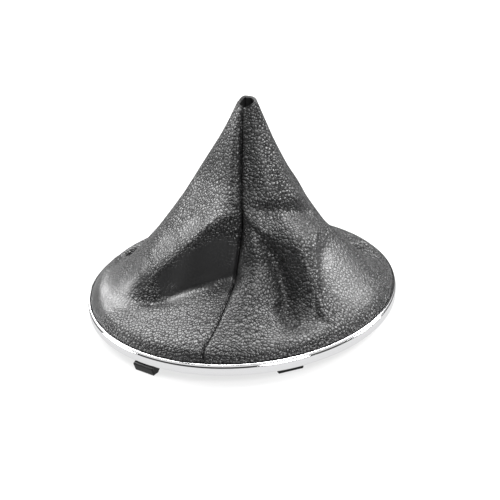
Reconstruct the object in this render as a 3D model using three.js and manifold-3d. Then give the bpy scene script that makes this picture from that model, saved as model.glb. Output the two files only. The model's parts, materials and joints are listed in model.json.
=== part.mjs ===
// Gear lever gaiter for a round opening in a centre console.
// Two leather panels sewn front and rear, tucked between a moulded carrier and a bright trim ring.
// Millimetres, +Z up. The origin is under the middle of the ring, level with the clip tips.

import * as THREE from 'three'
import { mergeVertices } from 'three/addons/utils/BufferGeometryUtils.js'
import Module from 'manifold-3d'

// Leather
const rimRadius = 74.5
const coneHeight = 100
const leatherThickness = 1.2
const tuckDepth = 3.4
const leanAtTop = 9.4
const leanDirection = 13
const seamGap = 0.3
const seamDepth = 5
const seamSink = 0.5
const seamStep = 0.1

// Clearances
const fit = 0.3
const tuckRoom = 0.6

// Clips under the carrier
const clipLength = 3.9
const hookWidth = 12
const hookReach = 4.1
const hookLedgeDrop = 0.6
const hookTipInset = 1.1
const hookTipWidth = 3
const hookRoot = 2.2
const hookHeel = 1
const hookBevel = 0.6
const hookAzimuths = [-25, 155]
const tabWidth = 12.4
const tabThickness = 1.9
const tabInset = 2.5
const tabBevel = 0.4
const tabAzimuths = [30, -150]

// Carrier ring
const carrierWidth = 8
const carrierFloor = 1.7
const carrierWall = 1.6
const carrierLip = 0.8
const grooveDepth = 1
const wallRise = 1
const wallChamfer = 1
const carrierSegments = 64

// Trim ring
const flangeThickness = 1.2
const seatRelief = 0.4
const bandThickness = 1.4
const bandRise = 0.6
const bandEdge = 0.35
const lipHeight = 1.1
const lipStep = 0.4
const notchWidth = 7
const notchHeight = 1.1
const bandSegments = 80

// Heights above the clip tips
const flangeBottom = clipLength + carrierLip + fit
const flangeTop = flangeBottom + flangeThickness
const edgeLevel = flangeTop + fit + tuckDepth
const bandTop = edgeLevel + bandRise

// Radii
const carrierRadius = rimRadius - leatherThickness - tuckRoom
const bandInner = rimRadius + fit
const bandOuter = bandInner + bandThickness

const wasm = await Module()
wasm.setup()

const finishes = {
  leather: new THREE.MeshStandardMaterial({ color: 0x232325, roughness: 0.5, metalness: 0 }),
  plastic: new THREE.MeshStandardMaterial({ color: 0x141415, roughness: 0.55, metalness: 0 }),
  chrome: new THREE.MeshStandardMaterial({ color: 0xd9dbde, roughness: 0.1, metalness: 1 }),
}

const gaiter = new THREE.Group()

function addPart(name, geometry, finish) {
  const mesh = new THREE.Mesh(geometry, finish)
  mesh.name = name
  gaiter.add(mesh)
}

// Azimuth 0 is the front, towards -Y, and azimuth 90 is the right, towards +X.
function outward(azimuth) {
  const angle = THREE.MathUtils.degToRad(azimuth)
  return new THREE.Vector3(Math.sin(angle), -Math.cos(angle), 0)
}

function toSolid(geometry) {
  const bare = geometry.clone()
  bare.deleteAttribute('normal')
  bare.deleteAttribute('uv')
  const merged = mergeVertices(bare, 1e-4)
  const mesh = new wasm.Mesh({
    numProp: 3,
    vertProperties: new Float32Array(merged.attributes.position.array),
    triVerts: new Uint32Array(merged.index.array),
  })
  return new wasm.Manifold(mesh)
}

function toGeometry(solid) {
  const mesh = solid.getMesh()
  const geometry = new THREE.BufferGeometry()
  geometry.setAttribute('position', new THREE.BufferAttribute(mesh.vertProperties, 3))
  geometry.setIndex(new THREE.BufferAttribute(mesh.triVerts, 1))
  return geometry
}

// Control points of the leather's outer face. Each station runs from the rim to the mouth, and a
// point is an azimuth in degrees, a radius in percent of the rim radius and a height in percent
// of the cone height above the edge level. The rim is the same all round.
const rimPoints = [[100, 0], [99.6, 1.8]]

// Roll, apron, skirt, foot of the hollow, wall, brow, knee, shin, upper face, neck and mouth
const seamFront = [
  -2, [-2, 94.8, 6.4], [0.6, 80, 11.7], [3.6, 61, 18.2], [5.7, 47.5, 21.6], [7, 44, 28.7],
  [10, 34.5, 47], [8.3, 31.5, 53.2], [7.2, 27.5, 58], [5.3, 22.5, 64], [-1, 12.3, 81], [2, 5.8, 94.8],
]
const seamRear = [
  180, [180, 95, 3.4], [180, 87, 5.2], [180, 75, 10.4], [180, 62, 21.5], [180, 56, 27],
  [180, 49, 34.5], [180, 37.5, 50.5], [180, 32, 58], [180, 26.5, 66], [180, 15, 83], [180, 7, 97],
]

const leftStations = [
  seamFront,
  [-9, [-9, 94.8, 6.4], [-9, 80.5, 11], [-9, 63.5, 17], [-6, 50, 20.8], [-4.5, 46.5, 28], [-1.8, 37.5, 49.5],
    [-2, 33.6, 54.8], [-4.8, 29.3, 59.3], [-8.5, 24.6, 64.8], [-20, 14.5, 81.2], [-24, 6.4, 95]],
  [-20, [-20, 94.8, 6.4], [-20, 81, 10], [-20.5, 68, 13.8], [-22.3, 57.5, 17.8], [-21, 54, 25.5], [-18, 47, 46],
    [-17, 37.5, 52.2], [-21, 28.5, 58], [-28, 22, 64.5], [-36, 13.8, 81.3], [-42, 6.5, 95]],
  [-34, [-34, 94.8, 6.4], [-34, 83, 8.8], [-35, 73.5, 10.2], [-37, 65.5, 10.6], [-37.5, 61.3, 17.5],
    [-37, 53.5, 36.5], [-36, 39, 47.3], [-41, 29.5, 55.6], [-50, 22.5, 63.5], [-53, 13.8, 81.2], [-60, 6.5, 95.2]],
  [-48, [-48, 94.8, 6.4], [-49, 86, 7.4], [-48.5, 78.5, 8.2], [-47.5, 71.5, 8.6], [-49.5, 69, 14], [-52, 64, 26],
    [-55, 43.5, 43], [-61, 33, 52.5], [-70, 25, 62], [-68, 14.8, 81], [-78, 6.5, 95.4]],
  [-63, [-63, 94.8, 6.4], [-63, 88, 8.2], [-61, 82, 11], [-60, 76, 15], [-61, 72, 19], [-62, 66, 25],
    [-69, 45, 43.5], [-76, 36.2, 52.8], [-84, 28.5, 62], [-82, 15.1, 81], [-94, 6.2, 95.8]],
  [-84, [-84, 94.8, 6.4], [-84, 88.5, 8.5], [-84, 81, 12.5], [-84, 72, 18.5], [-84, 65.5, 24], [-84, 57.5, 31],
    [-86, 42, 47.3], [-90, 35.5, 55], [-94, 29, 63.5], [-96, 15, 81.5], [-112, 6, 96]],
  [-106, [-106, 95, 4.8], [-106, 89.5, 4.6], [-106, 83, 5.6], [-105, 75, 14], [-105.5, 66, 21.8],
    [-106, 57, 30.5], [-108, 42, 46.5], [-109, 35.5, 55], [-110, 28.5, 64], [-116, 14.6, 82], [-128, 6.2, 96.6]],
  [-132, [-132, 95, 4.4], [-132, 88.5, 6.6], [-132, 80, 9.6], [-132, 70, 16.5], [-132, 63, 23], [-132, 55, 31],
    [-134, 41.5, 46.5], [-135, 35, 55], [-136, 28.5, 64], [-140, 15.5, 82], [-143, 6.8, 97]],
  [-157, [-157, 95, 3.8], [-157, 88, 6], [-157, 78, 11], [-157, 67, 20], [-157, 60, 25.8], [-157, 52, 33],
    [-157, 40, 48.5], [-157.5, 34, 56.5], [-158, 27.5, 65], [-160, 15.8, 82.5], [-160, 7.3, 97.2]],
  turned(seamRear, -360),
]

const rightStations = [
  seamFront,
  [16, [16, 94.8, 6.4], [17, 80.5, 12], [16, 65, 19.5], [18, 52, 29], [19.5, 47.5, 36.5], [21, 42.5, 44],
    [25, 34.5, 51.8], [25.5, 29.6, 57.5], [23, 23.8, 64.5], [24, 13.2, 81.3], [22, 6.3, 95.9]],
  [33, [33, 94.8, 6.4], [33.5, 81, 7.8], [37, 66.5, 14], [37, 54.5, 26.5], [34, 49.8, 33], [32.5, 44.5, 41],
    [39.5, 36.3, 50.3], [40, 32.3, 57], [40, 27.2, 64.2], [44, 14.8, 81.4], [50, 6.7, 96.5]],
  [44, [44, 94.8, 6.4], [45, 82.8, 9], [47.5, 74.5, 19], [49.3, 64, 31.5], [49.2, 58.5, 37.6], [49.8, 51.5, 43],
    [54, 39.8, 48.9], [54, 34.7, 55.5], [55, 29.2, 63.2], [58, 15.6, 81.4], [64, 6.8, 96.8]],
  [54, [54, 94.8, 6.4], [52, 84.5, 12.5], [56.5, 73.5, 21], [62, 63.5, 29.5], [64, 59.5, 34], [66, 55, 37.8],
    [72, 43.7, 45.3], [72, 38.6, 52.5], [72, 30.2, 62.5], [74, 16, 81.5], [80, 6.6, 97]],
  [88, [88, 94.8, 6.4], [90, 88.5, 9.8], [92, 74.5, 20], [92, 62.5, 29.3], [92, 57.5, 32.8], [92, 52.5, 35.8],
    [96, 44.5, 42], [96, 37.5, 50], [96, 27.5, 61.5], [98, 15, 82], [104, 6.1, 97]],
  [112, [112, 95.5, 3.6], [112, 90, 3.8], [112, 83, 5], [111, 72, 14.5], [110.5, 64, 21], [110, 56, 28],
    [110, 42.5, 43], [111, 35.5, 52.5], [112, 27, 63], [116, 14.5, 82], [126, 5.9, 97]],
  [136, [136, 95.5, 2.9], [136, 89.5, 3.5], [136, 80.5, 7.2], [136, 68.5, 17], [135.5, 61, 23.5], [135, 53, 31],
    [135, 39.5, 46.5], [135.5, 33, 55.5], [136, 26.5, 64], [140, 15, 82], [144, 6.2, 97]],
  [158, [158, 95.5, 3], [158, 88.5, 4.3], [158, 78, 8.8], [158, 66.5, 18.6], [158, 59, 25.8], [158, 51.5, 33],
    [158, 39.5, 48.5], [158, 33.5, 56.5], [158, 27, 65], [160, 15.5, 82.5], [162, 6.7, 97]],
  seamRear,
]

function turned(station, degrees) {
  const [azimuth, ...points] = station
  return [azimuth + degrees, ...points.map(([a, r, h]) => [a + degrees, r, h])]
}

function stationPoints([azimuth, ...points]) {
  const tuck = [azimuth, rimPoints[0][0], -100 * tuckDepth / coneHeight]
  const rim = rimPoints.map(([radius, height]) => [azimuth, radius, height])
  return [tuck, ...rim, ...points]
}

// A smooth curve through numbers that are one step apart
function throughPoints(values, t) {
  const last = values.length - 1
  const i = Math.min(Math.floor(t), last - 1)
  const s = t - i
  const before = values[Math.max(i - 1, 0)]
  const start = values[i]
  const end = values[i + 1]
  const after = values[Math.min(i + 2, last)]
  return start + 0.5 * s * (end - before
    + s * (2 * before - 5 * start + 4 * end - after + s * (3 * (start - end) + after - before)))
}

function panelSurface(stations) {
  const net = stations.map(stationPoints)
  return (across, up) => {
    const [azimuth, radius, height] = [0, 1, 2].map((axis) => {
      const column = net.map((station) => throughPoints(station.map((point) => point[axis]), up))
      return throughPoints(column, across)
    })
    const level = coneHeight * height / 100
    const lean = leanAtTop * Math.max(height, 0) / 100
    return outward(azimuth).multiplyScalar(rimRadius * radius / 100)
      .add(outward(90 + leanDirection).multiplyScalar(lean))
      .add(new THREE.Vector3(0, 0, edgeLevel + level))
  }
}

// Steps along the stations and up the rows
function steps(spans) {
  const places = [0]
  spans.forEach((count, span) => {
    for (let i = 1; i <= count; i += 1) places.push(span + i / count)
  })
  return places
}

const upSteps = steps([1, 1, 2, 2, 2, 2, 2, 2, 2, 2, 2, 3, 2])
const leftSteps = steps([2, 2, 3, 3, 3, 3, 3, 3, 3, 3])
const rightSteps = steps([3, 3, 2, 2, 4, 3, 3, 3, 3])

const nudge = 0.02

function slope(surface, across, up, acrossLimit, upLimit) {
  const along = surface(Math.min(across + nudge, acrossLimit), up)
    .sub(surface(Math.max(across - nudge, 0), up))
  const rise = surface(across, Math.min(up + nudge, upLimit))
    .sub(surface(across, Math.max(up - nudge, 0)))
  return { along, rise }
}

// The two panels meet in a plane that stands on the seam. Side points into the panel, and inward
// is square to the seam and to the side.
function seamFrame(surface, across, up, turn, acrossLimit, upLimit) {
  const { rise } = slope(surface, across, up, acrossLimit, upLimit)
  const point = surface(across, up)
  const lean = Math.max(point.z - edgeLevel, 0) * leanAtTop / coneHeight
  const axis = outward(90 + leanDirection).multiplyScalar(lean)
  const radial = new THREE.Vector3(point.x, point.y, 0).sub(axis).normalize()
  const side = new THREE.Vector3(-radial.y, radial.x, 0).multiplyScalar(turn)
  const inward = new THREE.Vector3().crossVectors(side, rise).normalize().multiplyScalar(-turn)
  return { point, side, inward }
}

// A closed skin over rings of points, each ring a loop in the same order
function skinGeometry(rings) {
  const size = rings[0].length
  const positions = rings.flat().flatMap((point) => [point.x, point.y, point.z])
  const index = []
  for (let r = 0; r + 1 < rings.length; r += 1) {
    for (let i = 0; i < size; i += 1) {
      const a = r * size + i
      const b = r * size + (i + 1) % size
      index.push(a, b, b + size, a, b + size, a + size)
    }
  }
  const half = size / 2
  const top = (rings.length - 1) * size
  for (let i = 0; i + 1 < half; i += 1) {
    const mate = size - 1 - i
    index.push(i, mate, mate - 1, i, mate - 1, i + 1)
    index.push(top + i, top + mate - 1, top + mate, top + i, top + i + 1, top + mate - 1)
  }
  const geometry = new THREE.BufferGeometry()
  geometry.setAttribute('position', new THREE.Float32BufferAttribute(positions, 3))
  geometry.setIndex(index)
  return geometry
}

// Depth of the turned-in seam edges: short round the rim and at the mouth, full between
function allowanceDepth(up, upLimit) {
  const short = leatherThickness + fit
  const fromRim = THREE.MathUtils.clamp(up - rimPoints.length - 1, 0, 1)
  const fromMouth = THREE.MathUtils.clamp(upLimit - up, 0, 1)
  return short + (seamDepth - short) * Math.min(fromRim, fromMouth)
}

function leatherPanel(stations, acrossSteps, turn) {
  const surface = panelSurface(stations)
  const acrossLimit = stations.length - 1
  const upLimit = stationPoints(stations[0]).length - 1
  const frameAt = (across, up) => seamFrame(
    surface, across, up, across === 0 ? turn : -turn, acrossLimit, upLimit)

  const rings = upSteps.map((up) => {
    const outer = []
    const inner = []
    acrossSteps.forEach((across) => {
      if (across === 0 || across === acrossLimit) {
        const { point, side, inward } = frameAt(across, up)
        const edge = point.clone().addScaledVector(side, seamGap / 2)
        outer.push(edge)
        inner.push(edge.clone().addScaledVector(inward, leatherThickness))
        return
      }
      const { along, rise } = slope(surface, across, up, acrossLimit, upLimit)
      const normal = along.cross(rise).normalize().multiplyScalar(turn)
      const point = surface(across, up)
      outer.push(point)
      inner.push(point.clone().addScaledVector(normal, -leatherThickness))
    })
    const ring = [...outer, ...inner.reverse()]
    return turn > 0 ? ring : ring.reverse()
  })
  const skin = toSolid(skinGeometry(rings))

  const allowance = (across) => {
    const strip = upSteps.map((up) => {
      const { point, side, inward } = frameAt(across, up)
      const near = seamGap / 2 + seamStep
      const far = near + leatherThickness
      const depth = allowanceDepth(up, upLimit)
      const corner = (aside, down) => point.clone()
        .addScaledVector(side, aside).addScaledVector(inward, down)
      const ring = [corner(near, seamSink), corner(far, seamSink), corner(far, depth), corner(near, depth)]
      return (turn > 0) === (across === 0) ? ring : ring.reverse()
    })
    return toSolid(skinGeometry(strip))
  }
  return toGeometry(skin.add(allowance(0)).add(allowance(acrossLimit)))
}

addPart('left_panel', leatherPanel(leftStations, leftSteps, -1), finishes.leather)
addPart('right_panel', leatherPanel(rightStations, rightSteps, 1), finishes.leather)

function ringSolid(profile, segments) {
  const points = profile.map(([radius, height]) => new THREE.Vector2(radius, height))
  points.push(points[0].clone())
  const geometry = new THREE.LatheGeometry(points, segments)
  geometry.rotateX(Math.PI / 2)
  return toSolid(geometry)
}

// A profile in the plane of radius and height, extruded along the ring and centred on an azimuth
function blockSolid(profile, width, azimuth, bevel) {
  const shape = new THREE.Shape(profile.map(([radius, height]) => new THREE.Vector2(radius, height)))
  const geometry = new THREE.ExtrudeGeometry(shape, {
    depth: width - 2 * bevel,
    bevelEnabled: bevel > 0,
    bevelThickness: bevel,
    bevelSize: bevel,
    bevelOffset: -bevel,
    bevelSegments: 1,
  })
  geometry.translate(0, 0, bevel - width / 2)
  const up = new THREE.Vector3(0, 0, 1)
  const radial = outward(azimuth)
  const along = new THREE.Vector3().crossVectors(radial, up)
  geometry.applyMatrix4(new THREE.Matrix4().makeBasis(radial, up, along))
  return toSolid(geometry)
}

function carrier() {
  const inner = carrierRadius - carrierWidth
  const groove = carrierRadius - grooveDepth
  const lipTop = clipLength + carrierLip
  const floorTop = clipLength + carrierFloor
  const grooveTop = flangeTop + fit
  const wallTop = edgeLevel + wallRise
  const wallInner = groove - carrierWall
  const ring = ringSolid([
    [inner, clipLength],
    [carrierRadius, clipLength],
    [carrierRadius, lipTop],
    [groove, lipTop],
    [groove, grooveTop],
    [carrierRadius, grooveTop],
    [carrierRadius, wallTop - wallChamfer],
    [carrierRadius - wallChamfer, wallTop],
    [wallInner + wallChamfer / 2, wallTop],
    [wallInner, wallTop - wallChamfer / 2],
    [wallInner, floorTop],
    [inner, floorTop],
  ], carrierSegments)

  const hookOuter = carrierRadius + hookReach
  const ledge = lipTop - hookLedgeDrop
  const tipOuter = hookOuter - hookTipInset
  const hookInner = groove - carrierWall
  const hook = [
    [tipOuter - hookTipWidth, 0],
    [tipOuter, 0],
    [hookOuter, ledge - hookBevel],
    [hookOuter - hookBevel / 2, ledge],
    [carrierRadius + hookRoot, lipTop],
    [hookInner, lipTop],
    [hookInner, clipLength - hookHeel],
  ]
  const hooks = hookAzimuths.map((azimuth) => blockSolid(hook, hookWidth, azimuth, hookBevel))

  const tabOuter = carrierRadius - tabInset
  const tab = [
    [tabOuter - tabThickness, 0],
    [tabOuter, 0],
    [tabOuter, lipTop],
    [tabOuter - tabThickness, lipTop],
  ]
  const tabs = tabAzimuths.map((azimuth) => blockSolid(tab, tabWidth, azimuth, tabBevel))
  return toGeometry([...hooks, ...tabs].reduce((whole, clip) => whole.add(clip), ring))
}

function trimRing() {
  const flangeInner = carrierRadius - grooveDepth + fit
  const seatInner = carrierRadius + fit
  const lipOuter = bandOuter - lipStep
  const ring = ringSolid([
    [flangeInner, flangeBottom + seatRelief],
    [seatInner, flangeBottom],
    [bandOuter - bandEdge, flangeBottom],
    [bandOuter, flangeBottom + bandEdge],
    [bandOuter, bandTop - lipHeight - lipStep],
    [bandOuter - bandEdge / 2, bandTop - lipHeight],
    [lipOuter - bandEdge / 2, bandTop - lipHeight + bandEdge / 2],
    [lipOuter, bandTop - lipHeight / 2],
    [lipOuter - bandEdge / 2, bandTop - bandEdge / 3],
    [lipOuter - bandEdge, bandTop],
    [bandInner + bandEdge / 2, bandTop],
    [bandInner, bandTop - bandEdge / 2],
    [bandInner, flangeTop],
    [flangeInner, flangeTop],
  ], bandSegments)
  const notch = [
    [bandInner - fit, flangeBottom - notchHeight],
    [bandOuter + fit, flangeBottom - notchHeight],
    [bandOuter + fit, flangeBottom + notchHeight],
    [bandInner - fit, flangeBottom + notchHeight],
  ]
  const notches = hookAzimuths.map((azimuth) => blockSolid(notch, notchWidth, azimuth, 0))
  return toGeometry(notches.reduce((whole, cut) => whole.subtract(cut), ring))
}

addPart('carrier_frame', carrier(), finishes.plastic)
addPart('chrome_trim_ring', trimRing(), finishes.chrome)

export default gaiter
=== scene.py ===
import json
import math
import bpy
import numpy as np
from mathutils import Matrix, Vector

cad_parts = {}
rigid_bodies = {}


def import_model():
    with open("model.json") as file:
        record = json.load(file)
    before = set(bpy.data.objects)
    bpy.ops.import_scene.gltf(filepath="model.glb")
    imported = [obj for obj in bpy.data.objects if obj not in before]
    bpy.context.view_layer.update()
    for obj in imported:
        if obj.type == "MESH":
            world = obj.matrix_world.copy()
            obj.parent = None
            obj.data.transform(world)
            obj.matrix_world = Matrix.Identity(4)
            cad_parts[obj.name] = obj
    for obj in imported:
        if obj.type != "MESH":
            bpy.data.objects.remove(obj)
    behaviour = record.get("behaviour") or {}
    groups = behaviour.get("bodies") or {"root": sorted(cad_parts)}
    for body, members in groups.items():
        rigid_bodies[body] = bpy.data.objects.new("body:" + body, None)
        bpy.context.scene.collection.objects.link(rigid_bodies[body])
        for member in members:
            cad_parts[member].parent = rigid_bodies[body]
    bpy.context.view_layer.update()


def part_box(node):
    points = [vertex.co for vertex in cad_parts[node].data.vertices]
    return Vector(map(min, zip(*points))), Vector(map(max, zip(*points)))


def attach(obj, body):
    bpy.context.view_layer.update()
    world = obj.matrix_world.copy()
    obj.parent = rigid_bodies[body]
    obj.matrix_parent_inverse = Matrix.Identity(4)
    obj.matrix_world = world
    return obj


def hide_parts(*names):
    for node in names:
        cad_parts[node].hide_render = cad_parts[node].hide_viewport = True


# A gear lever gaiter: two leather half cones, sewn at the front and the rear, drawn over a
# carrier ring with a bright trim. Lengths are in metres, and the front faces -Y.
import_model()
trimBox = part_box("chrome_trim_ring")


# Camera, fitted to the ellipse of the rim in the photograph
camera = {
    "azimuth": 13.4,
    "elevation": 27.0,
    "roll": -4.27,
    "distance": 0.650,
    "aim": (0.00535, 0.00127, 0.0288),
    "lens": 95.5,
    "sensor": 36,
    "clipStart": 0.01,
}


def makeCamera(c):
    azimuth, elevation, roll = (math.radians(c[k]) for k in ("azimuth", "elevation", "roll"))
    back = Vector((
        math.sin(azimuth) * math.cos(elevation),
        -math.cos(azimuth) * math.cos(elevation),
        math.sin(elevation),
    ))
    right = Vector((math.cos(azimuth), math.sin(azimuth), 0))
    up = back.cross(right)
    tiltRight = right * math.cos(roll) + up * math.sin(roll)
    tiltUp = back.cross(tiltRight)
    data = bpy.data.cameras.new("photoCamera")
    data.lens = c["lens"]
    data.sensor_width = c["sensor"]
    data.clip_start = c["clipStart"]
    holder = bpy.data.objects.new("photoCamera", data)
    bpy.context.scene.collection.objects.link(holder)
    turn = Matrix((tiltRight, tiltUp, back)).transposed().to_4x4()
    holder.matrix_world = Matrix.Translation(Vector(c["aim"]) + back * c["distance"]) @ turn
    bpy.context.scene.camera = holder


makeCamera(camera)
print("camera set")


# Shader sockets that can be added, taken away and multiplied like numbers
class Wire:
    def __init__(self, tree, socket):
        self.tree = tree
        self.socket = socket

    def node(self, kind, settings=None, inputs=None):
        return addNode(self.tree, kind, settings, inputs)

    def maths(self, operation, *values):
        return self.node("ShaderNodeMath", {"operation": operation}, dict(enumerate(values)))

    def __add__(self, other):
        return self.maths("ADD", self, other)

    def __radd__(self, other):
        return self.maths("ADD", other, self)

    def __sub__(self, other):
        return self.maths("SUBTRACT", self, other)

    def __rsub__(self, other):
        return self.maths("SUBTRACT", other, self)

    def __mul__(self, other):
        return self.maths("MULTIPLY", self, other)

    def __rmul__(self, other):
        return self.maths("MULTIPLY", other, self)

    def clamp(self):
        return self.node("ShaderNodeClamp", {}, {0: self})

    def between(self, low, high, start=0.0, end=1.0):
        # a soft step from start to end, while this value goes from low to high
        return self.node("ShaderNodeMapRange", {"interpolation_type": "SMOOTHSTEP"},
                         {0: self, 1: low, 2: high, 3: start, 4: end})


def addNode(tree, kind, settings=None, inputs=None, out=0):
    n = tree.nodes.new(kind)
    for key, value in (settings or {}).items():
        setattr(n, key, value)
    for key, value in (inputs or {}).items():
        if isinstance(value, Wire):
            tree.links.new(value.socket, n.inputs[key])
        else:
            n.inputs[key].default_value = value
    return Wire(tree, n.outputs[out])


def newMaterial(name):
    m = bpy.data.materials.new(name)
    m.use_nodes = True
    tree = m.node_tree
    tree.nodes.clear()
    return m, tree


def objectPlace(tree):
    return addNode(tree, "ShaderNodeTexCoord", out=3)


def noise(tree, place, scale, detail, out=0):
    return addNode(tree, "ShaderNodeTexNoise", {}, {"Vector": place, "Scale": scale, "Detail": detail}, out)


def bumpFrom(tree, height, strength, distance):
    inputs = {"Strength": strength, "Distance": distance, "Height": height}
    return addNode(tree, "ShaderNodeBump", {}, inputs)


def principled(tree, inputs):
    return addNode(tree, "ShaderNodeBsdfPrincipled", {}, inputs)


def blendColour(tree, factor, first, second):
    ends = {6: (*first, 1), 7: (*second, 1)}
    return addNode(tree, "ShaderNodeMix", {"data_type": "RGBA"}, {0: factor, **ends}, 2)


def raySort(tree, name):
    return addNode(tree, "ShaderNodeLightPath", out=name)


def finishWith(tree, shader, kind="ShaderNodeOutputMaterial"):
    out = tree.nodes.new(kind)
    tree.links.new(shader.socket, out.inputs["Surface"])


# Grained leather: pebbles about 1.5 mm across, domed, with creases between them that the bump presses in
# and painted shade darkens
grain = {
    "pebble": 0.00155,
    "pores": 0.00055,
    "wander": 0.0012,  # how far the cells are pushed about
    "wanderScale": 0.35,
    "uneven": 0.9,
    "depth": 0.00062,
    "creaseShare": 0.4,
    "domeShare": 0.6,
    "poreShare": 0.08,
    "colour": (0.012, 0.012, 0.0125),
    # painted shade: the dark colour of the creases between the pebbles
    "paintedCreaseShadeColour": (0.006, 0.006, 0.0062),
    "roughness": 0.34,
    "patchScale": 60.0,
    "patchRoughness": 0.12,
    "coat": 0.45,
    "coatRoughness": 0.42,
}


# Where the leather is stretched and the grain lies flat: centre, radius, share of the grain left
calmZones = [
    ((-0.001, -0.034, 0.041), 0.012, 0.15),
    ((-0.013, -0.036, 0.036), 0.011, 0.15),
    ((-0.024, -0.0365, 0.029), 0.009, 0.15),
    ((-0.058, -0.031, 0.018), 0.014, 0.3),
    ((-0.045, -0.027, 0.029), 0.010, 0.3),
    ((-0.030, -0.027, 0.043), 0.009, 0.4),
    ((-0.016, -0.026, 0.054), 0.007, 0.5),
    ((-0.068, -0.016, 0.013), 0.015, 0.35),
    ((0.055, -0.019, 0.030), 0.017, 0.45),
    ((0.045, -0.022, 0.038), 0.007, 0.5),
]
calmFade = (0.7, 1.25)  # from and to, in radii of the zone


def grainShare(tree, place):
    # 1 over most of the leather, less inside the calm zones
    share = 1.0
    for centre, radius, left in calmZones:
        away = addNode(tree, "ShaderNodeVectorMath", {"operation": "DISTANCE"}, {0: place, 1: centre}, 1)
        share = away.between(radius * calmFade[0], radius * calmFade[1], left, 1.0) * share
    return share


def leatherMaterial(g):
    m, t = newMaterial("grainedLeather")
    place = objectPlace(t)
    wobble = noise(t, place, g["wanderScale"] / g["pebble"], 1.0, out=1)
    strayed = addNode(t, "ShaderNodeVectorMath", {"operation": "MULTIPLY_ADD"},
                      {0: wobble, 1: (g["wander"],) * 3, 2: place})
    cells = {"Vector": strayed, "Scale": 1 / g["pebble"], "Randomness": g["uneven"]}
    edge = addNode(t, "ShaderNodeTexVoronoi", {"feature": "DISTANCE_TO_EDGE"}, cells)
    dome = addNode(t, "ShaderNodeTexVoronoi", {"feature": "SMOOTH_F1"}, {**cells, "Smoothness": 0.35})
    pores = noise(t, place, 1 / g["pores"], 3.0)
    patches = noise(t, place, g["patchScale"], 2.0)
    share = grainShare(t, place)
    rise = edge.between(0.0, 0.16) * g["creaseShare"]
    rise = rise + (1 - dome.between(0.0, 0.8)) * g["domeShare"]
    rise = rise + pores * g["poreShare"]
    bump = bumpFrom(t, rise * share, 1.0, g["depth"])
    rough = g["roughness"] + (patches - 0.5) * g["patchRoughness"]
    skin = principled(t, {
        "Base Color": (*g["colour"], 1),
        "Roughness": rough.clamp(),
        "IOR": 1.55,
        "Coat Weight": g["coat"],
        "Coat Roughness": g["coatRoughness"],
        "Coat IOR": 1.5,
        "Normal": bump,
    })
    # painted shade: a dark, dull finish with little reflection, as though the creases lay in shadow
    paintedCreaseShade = principled(t, {
        "Base Color": (*g["paintedCreaseShadeColour"], 1),
        "Roughness": 0.9,
        "Specular IOR Level": 0.15,
        "Normal": bump,
    })
    # where the painted crease shade is mixed in, less in the calm zones
    paintedCreaseShadeMask = edge.between(0.02, 0.12, 0.85, 0.0) * share
    finishWith(t, addNode(t, "ShaderNodeMixShader", {}, {0: paintedCreaseShadeMask, 1: skin, 2: paintedCreaseShade}))
    return m


# The rough inside of the leather
backing = {
    "dark": (0.004, 0.004, 0.0045),
    "light": (0.011, 0.011, 0.0115),
    "fibreScale": 900.0,
    "patchScale": 90.0,
    "depth": 0.0002,
    "roughness": 0.95,
}


def backMaterial(b):
    m, t = newMaterial("leatherBack")
    place = objectPlace(t)
    fibre = noise(t, place, b["fibreScale"], 4.0)
    patches = noise(t, place, b["patchScale"], 2.0)
    factor = (fibre * 0.6 + patches * 0.4).between(0.3, 0.7)
    finishWith(t, principled(t, {
        "Base Color": blendColour(t, factor, b["dark"], b["light"]),
        "Roughness": b["roughness"],
        "Normal": bumpFrom(t, fibre, 0.8, b["depth"]),
    }))
    return m


# The cut edges of the leather, at the mouth, inside the seams and under the rim
cutEdge = {
    "dark": (0.006, 0.006, 0.0062),
    "light": (0.018, 0.018, 0.0185),
    "fibreScale": 1400.0,
    "depth": 0.00015,
    "roughness": 0.85,
}


def cutEdgeMaterial(e):
    m, t = newMaterial("leatherCutEdge")
    fibre = noise(t, objectPlace(t), e["fibreScale"], 3.0)
    finishWith(t, principled(t, {
        "Base Color": blendColour(t, fibre, e["dark"], e["light"]),
        "Roughness": e["roughness"],
        "Normal": bumpFrom(t, fibre, 0.6, e["depth"]),
    }))
    return m


# Moulded black plastic with a fine spark texture
plastic = {
    "dark": (0.003, 0.003, 0.0032),
    "light": (0.007, 0.007, 0.0072),
    "sparkScale": 2600.0,
    "flowScale": 40.0,
    "depth": 0.00005,
    "roughness": 0.45,
    "flowRoughness": 0.15,
    "shine": 0.3,
}


def plasticMaterial(p):
    m, t = newMaterial("mouldedPlastic")
    place = objectPlace(t)
    spark = noise(t, place, p["sparkScale"], 2.0)
    flow = noise(t, place, p["flowScale"], 3.0)
    finishWith(t, principled(t, {
        "Base Color": blendColour(t, flow.between(0.35, 0.65), p["dark"], p["light"]),
        "Roughness": p["roughness"] + (flow - 0.5) * p["flowRoughness"],
        "Specular IOR Level": p["shine"],
        "Normal": bumpFrom(t, spark, 0.35, p["depth"]),
    }))
    return m


# Bright chrome with a faint haze
chrome = {
    "colour": (0.90, 0.90, 0.91),
    "hazeScale": 25.0,
    "swirlScale": 700.0,
    "depth": 0.00003,
    "roughness": (0.05, 0.11),
}


def chromeMaterial(c):
    m, t = newMaterial("brightChrome")
    place = objectPlace(t)
    haze = noise(t, place, c["hazeScale"], 3.0)
    swirl = noise(t, place, c["swirlScale"], 2.0)
    finishWith(t, principled(t, {
        "Base Color": (*c["colour"], 1),
        "Metallic": 1.0,
        "Roughness": haze.between(0.3, 0.7, *c["roughness"]),
        "Normal": bumpFrom(t, swirl, 0.05, c["depth"]),
    }))
    return m


finishes = {
    "leather": leatherMaterial(grain),
    "back": backMaterial(backing),
    "edge": cutEdgeMaterial(cutEdge),
    "plastic": plasticMaterial(plastic),
    "chrome": chromeMaterial(chrome),
}
print("finishes made")


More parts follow.
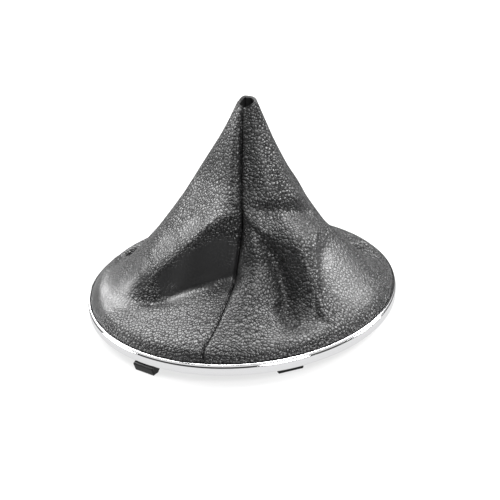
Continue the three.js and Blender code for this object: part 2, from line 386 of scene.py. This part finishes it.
def onlySelect(piece):
    bpy.ops.object.select_all(action="DESELECT")
    piece.select_set(True)
    bpy.context.view_layer.objects.active = piece


# The leather cone. Rows are counted from the tuck at 0 and the rim at 1 to the mouth at 13.
leather = {
    "rimRadius": 0.0745,
    "coneHeight": 0.100,
    "rimUnderTrim": 0.0006,
    "tuck": 0.0034,
    "thickness": 0.0012,
    "leanAtTop": 0.0094,
    "leanDirection": 13,
    "seamGap": 0.00028,
    "skirtGap": 1.6,  # how many times its width the gap grows by in the skirt
    "skirtRows": (4, 6),  # all of that growth up to the first row, none from the second
    "shutGap": 0.00002,  # what is left on each side where the turned edges meet
    "seamDepth": 0.005,
    "spareEdge": 0.0003,  # how far the turned edge passes the leather's thickness at rim and mouth
    "mouthRows": 0.6,  # rows below the mouth in which the turned edge is short
    "rollDepth": 0.0009,
    "rollWidth": 0.0009,
    "rollReach": 0.006,
    "rearRollFade": 1.2,  # rows below the mouth over which the rear roll runs out
    "rearGapFade": (1, 2),  # rows below the mouth where the rear gap is shut, and rows it shuts over
    "foldEnd": 0.15,  # share of a fold's length that fades at each end
    "foldEndPower": 0.8,
    "stepsPerStation": 26,
    "stepsUp": 170,
    "smoothAngle": 50,
}
rimLine = trimBox[1][2] - leather["rimUnderTrim"]

# A net of control points shapes the cone. Each station runs from the rim to the mouth; a point
# is an azimuth in degrees, a radius in percent of the rim radius and a height in percent of
# the cone height above the rim line. The first number is the azimuth of the two rim points.
rimPoints = [(100, 0), (99.6, 1.8)]
# The three lines of a station: roll, apron, skirt and foot of the hollow,
# then wall, brow, knee and shin, then upper face, neck and mouth
seamFront = (
    -2,
    (-2, 94.8, 6.4), (0.6, 80, 11.7), (3.6, 61, 18.2), (5.7, 47.5, 21.6),
    (7, 44, 28.7), (10, 34.5, 47), (8.3, 31.5, 53.2), (7.2, 27.5, 58),
    (5.3, 22.5, 64), (-1, 12.3, 81), (-13, 5.8, 94.6),
)
seamRear = (
    180,
    (180, 95, 3.4), (180, 87, 5.2), (180, 75, 10.4), (180, 62, 21.5),
    (180, 56, 27), (180, 49, 34.5), (180, 37.5, 50.5), (180, 32, 58),
    (180, 26.5, 66), (180, 15, 83), (180, 7, 97),
)
leftStations = [
    seamFront,
    (-9, (-9, 94.8, 6.4), (-9, 80.5, 11), (-9, 63.5, 17), (-6, 50, 20.8),
     (-4.5, 46.5, 28), (-1.8, 37.5, 49.5), (-2, 33.6, 54.8), (-4.8, 29.3, 59.3),
     (-8.5, 24.6, 64.8), (-20, 14.5, 81.2), (-34, 4.9, 95)),
    (-20, (-20, 94.8, 6.4), (-20, 81, 10), (-20.5, 68, 13.8), (-22.3, 57.5, 17.8),
     (-21, 54, 25.5), (-18, 47, 46), (-17, 37.5, 52.2), (-21, 28.5, 58),
     (-28, 22, 64.5), (-36, 13.8, 81.3), (-52, 4.9, 95.1)),
    (-34, (-34, 94.8, 6.4), (-34, 83, 8.8), (-35, 73.5, 10.2), (-37, 65.5, 10.6),
     (-37.5, 61.3, 17.5), (-37, 53.5, 36.5), (-36, 39, 47.3), (-41, 29.5, 55.6),
     (-50, 22.5, 63.5), (-53, 13.8, 81.2), (-68, 5.4, 95.3)),
    (-48, (-48, 94.8, 6.4), (-49, 86, 7.4), (-48.5, 78.5, 8.2), (-47.5, 71.5, 8.6),
     (-49.5, 69, 14), (-52, 64, 26), (-55, 43.5, 43), (-61, 33, 52.5),
     (-70, 25, 62), (-68, 14.8, 81), (-82, 5.8, 95.5)),
    (-63, (-63, 94.8, 6.4), (-63, 88, 8.2), (-61, 82, 11), (-60, 76, 15),
     (-61, 72, 19), (-62, 66, 25), (-69, 45, 43.5), (-76, 36.2, 52.8),
     (-84, 28.5, 62), (-82, 15.1, 81), (-96, 6, 95.9)),
    (-84, (-84, 94.8, 6.4), (-84, 88.5, 8.5), (-84, 81, 12.5), (-84, 72, 18.5),
     (-84, 65.5, 24), (-84, 57.5, 31), (-86, 42, 47.3), (-90, 35.5, 55),
     (-94, 29, 63.5), (-96, 15, 81.5), (-112, 6, 96)),
    (-106, (-106, 95, 4.8), (-106, 89.5, 4.6), (-106, 83, 5.6), (-105, 75, 14),
     (-105.5, 66, 21.8), (-106, 57, 30.5), (-108, 42, 46.5), (-109, 35.5, 55),
     (-110, 28.5, 64), (-116, 14.6, 82), (-128, 6.2, 96.6)),
    (-132, (-132, 95, 4.4), (-132, 88.5, 6.6), (-132, 80, 9.6), (-132, 70, 16.5),
     (-132, 63, 23), (-132, 55, 31), (-134, 41.5, 46.5), (-135, 35, 55),
     (-136, 28.5, 64), (-140, 15.5, 82), (-143, 6.8, 97)),
    (-157, (-157, 95, 3.8), (-157, 88, 6), (-157, 78, 11), (-157, 67, 20),
     (-157, 60, 25.8), (-157, 52, 33), (-157, 40, 48.5), (-157.5, 34, 56.5),
     (-158, 27.5, 65), (-160, 15.8, 82.5), (-160, 7.3, 97.2)),
    (-180, *[(a - 360, r, h) for a, r, h in seamRear[1:]]),
]
rightStations = [
    seamFront,
    (16, (16, 94.8, 6.4), (17, 80.5, 12), (16, 65, 19.5), (18, 52, 29),
     (19.5, 47.5, 36.5), (21, 42.5, 44), (25, 34.5, 51.8), (25.5, 29.6, 57.5),
     (23, 23.8, 64.5), (24, 13.2, 81.3), (18, 5.6, 95.4)),
    (33, (33, 94.8, 6.4), (33.5, 81, 7.8), (37, 66.5, 14), (37, 54.5, 26.5),
     (34, 49.8, 33), (32.5, 44.5, 41), (39.5, 36.3, 50.3), (40, 32.3, 57),
     (40, 27.2, 64.2), (44, 14.8, 81.4), (48, 6.2, 96.4)),
    (44, (44, 94.8, 6.4), (45, 82.8, 9), (47.5, 74.5, 19), (49.3, 64, 31.5),
     (49.2, 58.5, 37.6), (49.8, 51.5, 43), (54, 39.8, 48.9), (54, 34.7, 55.5),
     (55, 29.2, 63.2), (58, 15.6, 81.4), (64, 6.8, 96.8)),
    (54, (54, 94.8, 6.4), (52, 84.5, 12.5), (56.5, 73.5, 21), (62, 63.5, 29.5),
     (64, 59.5, 34), (66, 55, 37.8), (72, 43.7, 45.3), (72, 38.6, 52.5),
     (72, 30.2, 62.5), (74, 16, 81.5), (80, 6.6, 97)),
    (88, (88, 94.8, 6.4), (90, 88.5, 9.8), (92, 74.5, 20), (92, 62.5, 29.3),
     (92, 57.5, 32.8), (92, 52.5, 35.8), (96, 44.5, 42), (96, 37.5, 50),
     (96, 27.5, 61.5), (98, 15, 82), (104, 6.1, 97)),
    (112, (112, 95.5, 3.6), (112, 90, 3.8), (112, 83, 5), (111, 72, 14.5),
     (110.5, 64, 21), (110, 56, 28), (110, 42.5, 43), (111, 35.5, 52.5),
     (112, 27, 63), (116, 14.5, 82), (126, 5.9, 97)),
    (136, (136, 95.5, 2.9), (136, 89.5, 3.5), (136, 80.5, 7.2), (136, 68.5, 17),
     (135.5, 61, 23.5), (135, 53, 31), (135, 39.5, 46.5), (135.5, 33, 55.5),
     (136, 26.5, 64), (140, 15, 82), (144, 6.2, 97)),
    (158, (158, 95.5, 3), (158, 88.5, 4.3), (158, 78, 8.8), (158, 66.5, 18.6),
     (158, 59, 25.8), (158, 51.5, 33), (158, 39.5, 48.5), (158, 33.5, 56.5),
     (158, 27, 65), (160, 15.5, 82.5), (162, 6.7, 97)),
    seamRear,
]


def stationPoints(station):
    azimuth, *points = station
    tuck = (azimuth, rimPoints[0][0], -100 * leather["tuck"] / leather["coneHeight"])
    return [tuck] + [(azimuth, r, h) for r, h in rimPoints] + points


def throughPoints(values, places):
    # a smooth curve through values that are one step apart, along the first axis
    last = len(values) - 1
    i = np.clip(np.floor(places).astype(int), 0, last - 1)
    s = (places - i).reshape(-1, *[1] * (values.ndim - 1))
    before, start = values[np.maximum(i - 1, 0)], values[i]
    end, after = values[i + 1], values[np.minimum(i + 2, last)]
    return start + 0.5 * s * (end - before + s * (
        2 * before - 5 * start + 4 * end - after + s * (3 * (start - end) + after - before)))


def leanAxis(height):
    # the middle of the cone leans to the right and a little back as it rises
    reach = leather["leanAtTop"] * np.maximum(height, 0) / leather["coneHeight"]
    angle = math.radians(leather["leanDirection"])
    return reach[..., None] * np.array([math.cos(angle), math.sin(angle), 0.0])


def unit(v):
    return v / np.maximum(np.linalg.norm(v, axis=-1, keepdims=True), 1e-12)


def conePoints(stations, across, up):
    net = np.array([stationPoints(s) for s in stations], float)
    rows = throughPoints(net.transpose(1, 0, 2), up).transpose(1, 0, 2)
    grid = throughPoints(rows, across)
    angle = np.radians(grid[..., 0])
    radius = leather["rimRadius"] * grid[..., 1] / 100
    height = leather["coneHeight"] * grid[..., 2] / 100
    place = np.stack([radius * np.sin(angle), -radius * np.cos(angle), rimLine + height], -1)
    return place + leanAxis(height)


def conePoint(stations, across, up):
    return conePoints(stations, np.array([across]), np.array([up]))[0, 0]


# Folds pressed into the net: the line is in stations and rows, height and width in millimetres.
# A crisp fold comes to an edge, the others are round. A minus height is a groove.
leftFolds = [
    {"line": [(1.1, 12.4), (0.85, 11.8), (0.76, 11.2), (0.72, 10.3), (0.72, 9.2), (0.6, 8.6)],
     "height": 0.6, "width": 1.5, "crisp": True},
    {"line": [(0.6, 8.4), (1.1, 8.15), (1.8, 8.05), (2.3, 7.95), (2.85, 7.8), (3.4, 7.65), (3.95, 7.3)],
     "height": 0.5, "width": 2.2, "crisp": True},
    {"line": [(6.93, 2.8), (7.03, 3.1), (7.12, 3.5), (7.22, 3.95), (7.3, 4.4)],
     "height": -5.0, "width": 2.3, "crisp": False},
]
rightFolds = [
    {"line": [(0.45, 8.35), (1.1, 8.05), (1.6, 7.7), (1.9, 7.1), (2.0, 6.2), (2.0, 5.2),
              (2.05, 4.2), (2.1, 3.8)],
     "height": -1.5, "width": 3.0, "crisp": False},
    {"line": [(4.3, 8.4), (4.0, 7.8), (3.75, 6.6), (3.6, 5.5), (3.6, 4.7)],
     "height": 0.7, "width": 2.2, "crisp": True},
    {"line": [(0.3, 8.85), (1.3, 9.0), (2.9, 9.0), (4.0, 9.0), (4.5, 8.9)],
     "height": -1.1, "width": 3.2, "crisp": False},
    {"line": [(0.2, 8.6), (0.8, 8.4), (1.4, 8.2), (1.9, 8.0)],
     "height": 0.7, "width": 2.0, "crisp": True},
    {"line": [(1.7, 5.0), (1.95, 4.4), (2.2, 3.9)],
     "height": -1.6, "width": 4.0, "crisp": False},
    {"line": [(6.72, 5.4), (6.66, 4.7), (6.61, 3.9), (6.6, 3.5), (6.57, 2.9)],
     "height": -5.5, "width": 2.1, "crisp": False},
]


def pressFolds(points, stations, folds, turn):
    normal = unit(np.cross(np.gradient(points, axis=0), np.gradient(points, axis=1))) * turn
    shift = np.zeros(points.shape)
    for fold in folds:
        width = fold["width"] / 1000
        line = np.stack([conePoint(stations, *place) for place in fold["line"]])
        nearest = np.full(points.shape[:2], 1.0)
        share = np.zeros(points.shape[:2])
        for i, (start, end) in enumerate(zip(line[:-1], line[1:])):
            step = end - start
            along = np.clip((points - start) @ step / (step @ step), 0, 1)
            away = np.linalg.norm(points - start - along[..., None] * step, axis=-1)
            closer = away < nearest
            nearest[closer] = away[closer]
            share[closer] = ((i + along) / (len(line) - 1))[closer]
        reach = nearest / width
        form = np.exp(-reach) if fold["crisp"] else np.exp(-reach ** 2)
        ends = np.clip(np.minimum(share, 1 - share) / leather["foldEnd"], 0, 1) ** leather["foldEndPower"]
        shift += (fold["height"] / 1000 * form * ends)[..., None] * normal
    return points + shift


def closeSteps(spans):
    # places along the stations, closer together at both seams
    near = [0, 0.008, 0.018, 0.03, 0.045, 0.065, 0.09, 0.12,
            0.16, 0.21, 0.28, 0.36, 0.46, 0.58, 0.7, 0.85]
    middle = np.linspace(1, spans - 1, leather["stepsPerStation"] * (spans - 2))
    return np.concatenate([near, middle, spans - np.array(near[::-1])])


def seamDirections(points, column, turn):
    # side points into the panel along the rim, inward is square to the seam and to the side
    line = points[column]
    rise = np.gradient(line, axis=0)
    radial = line - leanAxis(line[:, 2] - rimLine)
    radial = unit(radial * np.array([1, 1, 0]))
    side = np.stack([-radial[:, 1], radial[:, 0], 0 * radial[:, 0]], -1) * turn
    return side, unit(np.cross(side, rise)) * -turn


def edgeDepth(up):
    # how deep the turned edge is: short in the roll of the rim and at the mouth
    short = leather["thickness"] + leather["spareEdge"]
    roll = len(rimPoints) + 1
    taper = np.minimum(np.clip(up - roll, 0, 1), np.clip(up[-1] - leather["mouthRows"] - up, 0, 1))
    return short + (leather["seamDepth"] - short) * taper


def seamShares(up, atRear):
    # how much of the roll and of the gap each row has
    if atRear:  # this seam lies flat and shut toward the mouth
        shutFrom, rows = leather["rearGapFade"]
        rollShare = np.clip((up[-1] - up) / leather["rearRollFade"], 0, 1)
        return rollShare, np.clip((up[-1] - shutFrom - up) / rows, 0, 1)
    low, high = leather["skirtRows"]
    wider = np.clip((high - up) / (high - low), 0, 1)
    return np.ones(len(up)), 1 + leather["skirtGap"] * wider


def turnEdge(points, column, way, up):
    # rolls the panel's edge inward, opens the gap and gives the turned edge, tip first
    side, inward = seamDirections(points, column, way)
    run = np.linalg.norm(points - points[column], axis=-1)
    fade = np.exp(-(run / leather["rollWidth"]) ** 2)
    rollShare, gapShare = seamShares(up, column > 0)
    roll = fade * (run < leather["rollReach"]) * rollShare
    gap = leather["seamGap"] / 2 * gapShare * fade
    points += (roll * leather["rollDepth"])[..., None] * inward
    points += gap[..., None] * side
    # the turned edges meet below the roll, so no light comes through the seam
    shut = side * np.clip(gap[column] - leather["shutGap"], 0, None)[:, None]
    depth = edgeDepth(up)
    edge = []
    for share in (1.0, 0.75, 0.5, 0.3, 0.15):
        edge.append(points[column] + inward * (depth * share)[:, None] - shut * min(1, 2 * share))
    return edge


def sheetFrom(name, grid, turn):
    columns, rows = grid.shape[:2]
    index = np.arange(columns * rows).reshape(columns, rows)
    faces = np.stack([index[:-1, :-1], index[1:, :-1], index[1:, 1:], index[:-1, 1:]], -1).reshape(-1, 4)
    if turn < 0:
        faces = faces[:, ::-1]
    mesh = bpy.data.meshes.new(name)
    mesh.from_pydata(grid.reshape(-1, 3).tolist(), [], faces.tolist())
    mesh.validate()
    piece = bpy.data.objects.new(name, mesh)
    bpy.context.scene.collection.objects.link(piece)
    return piece


def makePanel(name, stations, folds, turn):
    across = closeSteps(len(stations) - 1)
    mouth = len(stationPoints(stations[0])) - 1
    up = np.concatenate([[0, 0.5], np.linspace(1, mouth, leather["stepsUp"])])
    points = pressFolds(conePoints(stations, across, up), stations, folds, turn)
    front = turnEdge(points, 0, turn, up)
    rear = turnEdge(points, len(across) - 1, -turn, up)
    grid = np.concatenate([np.stack(front), points, np.stack(rear[::-1])])
    piece = sheetFrom(name, grid, turn)
    for key in ("leather", "back", "edge"):
        piece.data.materials.append(finishes[key])
    onlySelect(piece)
    wall = piece.modifiers.new("wall", "SOLIDIFY")
    wall.thickness = leather["thickness"]
    wall.offset = -1
    wall.material_offset = 1
    wall.material_offset_rim = 2
    bpy.ops.object.modifier_apply(modifier="wall")
    bpy.ops.object.shade_smooth_by_angle(angle=math.radians(leather["smoothAngle"]))
    return piece


leftPanel = makePanel("leftPanelLeather", leftStations, leftFolds, -1)
rightPanel = makePanel("rightPanelLeather", rightStations, rightFolds, 1)
for panel, node in ((leftPanel, "left_panel"), (rightPanel, "right_panel")):
    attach(panel, "root")
    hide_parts(node)
print("leather panels made", len(leftPanel.data.polygons), len(rightPanel.data.polygons))


# A ring turned from a profile of radii and heights, as by hand: a circle that is extruded,
# scaled and lifted from point to point, and bridged shut
def turnRing(name, profile, segments):
    (radius, height), *rest = profile
    bpy.ops.object.select_all(action="DESELECT")
    bpy.ops.mesh.primitive_circle_add(vertices=segments, radius=radius, location=(0, 0, height))
    ring = bpy.context.object
    ring.name = ring.data.name = name
    bpy.ops.object.transform_apply(location=True, rotation=True, scale=True)
    bpy.ops.object.mode_set(mode="EDIT")
    bpy.ops.mesh.select_all(action="SELECT")
    for nextRadius, nextHeight in rest:
        bpy.ops.mesh.extrude_region_move(TRANSFORM_OT_translate={"value": (0, 0, nextHeight - height)})
        share = nextRadius / radius
        bpy.ops.transform.resize(value=(share, share, 1), center_override=(0, 0, 0))
        radius, height = nextRadius, nextHeight
    bpy.ops.mesh.select_all(action="DESELECT")
    bpy.ops.mesh.select_non_manifold()
    bpy.ops.mesh.bridge_edge_loops()
    bpy.ops.mesh.select_all(action="SELECT")
    bpy.ops.mesh.normals_make_consistent(inside=False)
    bpy.ops.object.mode_set(mode="OBJECT")
    return ring


def roundCorner(corner, start, end, radius, steps):
    # points of a small arc in place of a corner of a profile
    corner, start, end = (Vector(p) for p in (corner, start, end))
    a = corner + (start - corner).normalized() * radius
    b = corner + (end - corner).normalized() * radius
    shares = [i / steps for i in range(steps + 1)]
    return [tuple(a.lerp(corner, s).lerp(corner.lerp(b, s), s)) for s in shares]


def softProfile(corners, steps):
    points = [point for point, radius in corners]
    out = []
    for i, (point, radius) in enumerate(corners):
        if radius:
            out += roundCorner(point, points[i - 1], points[(i + 1) % len(points)], radius, steps)
        else:
            out.append(tuple(point))
    return out


# The bright trim: a band with a foot, a shoulder and a lip, and a flange under the rim
trim = {
    "outer": trimBox[1][0],
    "bottom": trimBox[0][2],
    "top": trimBox[1][2],
    "band": 0.0014,
    "flange": 0.0012,
    "flangeInner": 0.0720,
    "footStep": 0.0002,
    "footHeight": 0.0012,
    "bandDraft": 0.00005,
    "shoulderFall": 0.0004,
    "lipDraft": 0.0001,
    "lipHeight": 0.0011,
    "lipStep": 0.0004,
    "cornerSteps": 4,
    "segments": 360,
    "smoothAngle": 60,
}


def makeTrim(c):
    inner = c["outer"] - c["band"]
    lipOuter = c["outer"] - c["lipStep"]
    shoulder = c["top"] - c["lipHeight"]
    flangeTop = c["bottom"] + c["flange"]
    corners = [  # each with its radius
        ((c["flangeInner"], c["bottom"]), 0),
        ((c["outer"] - c["footStep"], c["bottom"]), 0.0003),
        ((c["outer"], c["bottom"] + c["footHeight"]), 0.0005),
        ((c["outer"] - c["bandDraft"], shoulder - c["shoulderFall"]), 0.0003),
        ((lipOuter - c["lipDraft"], shoulder), 0.00015),
        ((lipOuter, c["top"]), 0.0004),
        ((inner, c["top"]), 0.0003),
        ((inner, flangeTop), 0.0002),
        ((c["flangeInner"], flangeTop), 0),
    ]
    ring = turnRing("trimBand", softProfile(corners, c["cornerSteps"]), c["segments"])
    onlySelect(ring)
    bpy.ops.object.shade_smooth_by_angle(angle=math.radians(c["smoothAngle"]))
    ring.data.materials.append(finishes["chrome"])
    return ring


trimBand = makeTrim(trim)
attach(trimBand, "root")
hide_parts("chrome_trim_ring")
print("trim ring made")


# The carrier frame keeps its own shape and takes the moulded plastic
for piece in bpy.context.scene.objects:
    if piece.name.startswith("carrier_frame") and piece.type == "MESH":
        for holder in piece.material_slots:
            holder.material = finishes["plastic"]
print("carrier frame finished")


# Studio: a pale floor and six soft boxes. The floor is white to the camera and, near the part,
# to mirror rays, and dim to the light that bounces, so that the hollow stays dark.
studio = {
    "floorSize": 6,
    "floorColour": (0.80, 0.80, 0.80),
    "floorBounce": (0.10, 0.10, 0.10),
    "floorGlow": 0.75,  # the rest of what the camera sees is lit, so the shadow shows
    "mirrorRadius": (0.10, 0.13),  # between these, mirror rays stop seeing the glow
    "boxes": {
        "rearBox": {"at": (0.0, 0.475, 0.823), "size": (0.6, 0.5), "power": 15.5},
        "frontBox": {"at": (0.475, -0.475, 0.672), "size": (0.4, 0.4), "power": 7.5},
        "rightBox": {"at": (0.657, 0.379, 0.572), "size": (0.5, 0.5), "power": 13.0},
        "leftBox": {"at": (-0.644, 0.402, 0.572), "size": (0.8, 0.5), "power": 11.5},
        "highBox": {"at": (-0.545, 0.0, 0.778), "size": (0.5, 0.4), "power": 5.5},
        "lowBox": {"at": (-0.900, -0.079, 0.294), "size": (0.5, 0.4), "power": 3.2},
    },
    "boxAim": (0, 0, 0.04),
    "fill": 0.05,
}


def makeFloor(c):
    bpy.ops.object.select_all(action="DESELECT")
    bpy.ops.mesh.primitive_plane_add(size=c["floorSize"], location=(0, 0, 0))
    floor = bpy.context.object
    floor.name = "studioFloor"
    m, t = newMaterial("paleFloor")
    seen = raySort(t, "Is Camera Ray")
    away = addNode(t, "ShaderNodeVectorMath", {"operation": "LENGTH"}, {0: objectPlace(t)}, 1)
    mirrored = raySort(t, "Is Glossy Ray") * away.between(*c["mirrorRadius"], 1.0, 0.0)
    shade = blendColour(t, seen, c["floorBounce"], c["floorColour"])
    cover = addNode(t, "ShaderNodeBsdfDiffuse", {}, {"Color": shade})
    glow = addNode(t, "ShaderNodeEmission", {}, {"Color": (1, 1, 1, 1), "Strength": 1.0})
    factor = (seen + mirrored) * c["floorGlow"]
    finishWith(t, addNode(t, "ShaderNodeMixShader", {}, {0: factor, 1: cover, 2: glow}))
    floor.data.materials.append(m)


def makeBoxes(c):
    for name, box in c["boxes"].items():
        lamp = bpy.data.lights.new(name, "AREA")
        lamp.shape = "RECTANGLE"
        lamp.size, lamp.size_y = box["size"]
        lamp.energy = box["power"]
        holder = bpy.data.objects.new(name, lamp)
        bpy.context.scene.collection.objects.link(holder)
        holder.location = box["at"]
        aim = Vector(c["boxAim"]) - Vector(box["at"])
        holder.rotation_euler = aim.to_track_quat("-Z", "Y").to_euler()


def makeWorld(c):
    # white to the camera, a faint fill to everything else
    world = bpy.data.worlds.new("studioWorld")
    bpy.context.scene.world = world
    world.use_nodes = True
    t = world.node_tree
    t.nodes.clear()
    strength = raySort(t, "Is Camera Ray") * (1 - c["fill"]) + c["fill"]
    sky = addNode(t, "ShaderNodeBackground", {}, {"Color": (1, 1, 1, 1), "Strength": strength})
    finishWith(t, sky, "ShaderNodeOutputWorld")


makeFloor(studio)
makeBoxes(studio)
makeWorld(studio)
bpy.context.scene.view_settings.view_transform = "Standard"
print("studio made")
